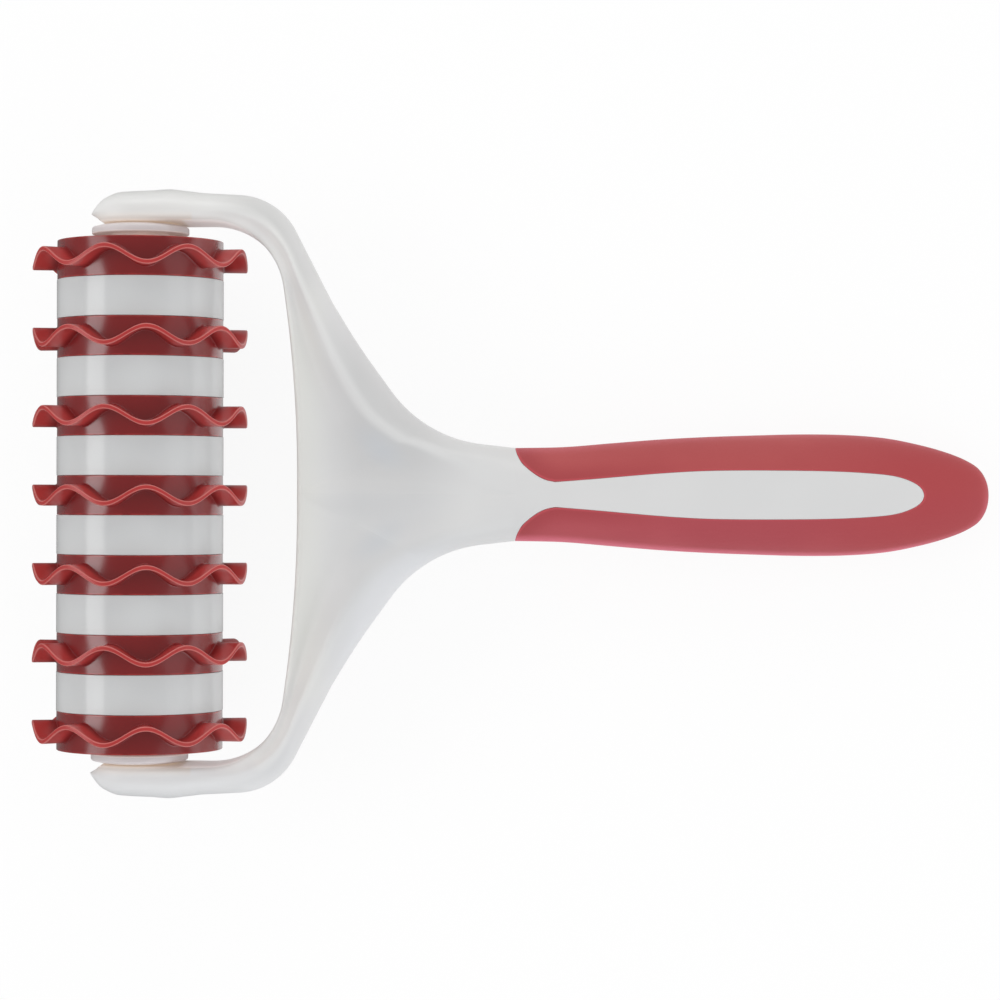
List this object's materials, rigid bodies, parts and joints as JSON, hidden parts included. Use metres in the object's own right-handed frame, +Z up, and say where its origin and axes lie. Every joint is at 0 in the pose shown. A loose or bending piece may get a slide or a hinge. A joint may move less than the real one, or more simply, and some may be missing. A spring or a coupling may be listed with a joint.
{
  "type": "multi-wheel pastry cutter",
  "caption": "Hand roller that cuts dough into wavy strips: keyed red cutting wheels and white spacer rings turn on a spindle between the arms of a white yoke with a soft red grip.",
  "frame": {"origin": "middle of the footprint, on the table that the wheels and the handle's butt rest on", "axes": "+X from the roller towards the butt, +Y along the roller, +Z up; the tool's own plane leans 5.1 degrees from level"},
  "size_m": [0.2192, 0.14, 0.0492],
  "materials": {
    "white_moulding": "satin moulded plastic",
    "white_ring": "glossy moulded plastic",
    "cutter_red": "glossy moulded plastic",
    "grip_red": "matte soft overmould"
  },
  "bodies": {
    "handle": {"yoke_frame": "white_moulding", "soft_grip": "grip_red"},
    "spindle": {"spindle": "white_moulding", "end_cap_upper": "white_moulding", "end_cap_lower": "white_moulding"},
    "wheel_stack": {"cutter_wheel_1": "cutter_red", "cutter_wheel_2": "cutter_red", "cutter_wheel_3": "cutter_red", "cutter_wheel_4": "cutter_red", "cutter_wheel_5": "cutter_red", "cutter_wheel_6": "cutter_red", "cutter_wheel_7": "cutter_red", "spacer_ring_1": "white_ring", "spacer_ring_2": "white_ring", "spacer_ring_3": "white_ring", "spacer_ring_4": "white_ring", "spacer_ring_5": "white_ring", "spacer_ring_6": "white_ring"}
  },
  "joints": [
    {"name": "roller_spin", "type": "hinge", "parent": "handle", "child": "spindle", "pos_m": [-0.08501, 0, 0.0246], "axis": [0, 1, 0], "continuous": true},
    {"name": "stack_float", "type": "slide", "parent": "spindle", "child": "wheel_stack", "axis": [0, 1, 0], "range_m": [0, 0.0009]}
  ]
}
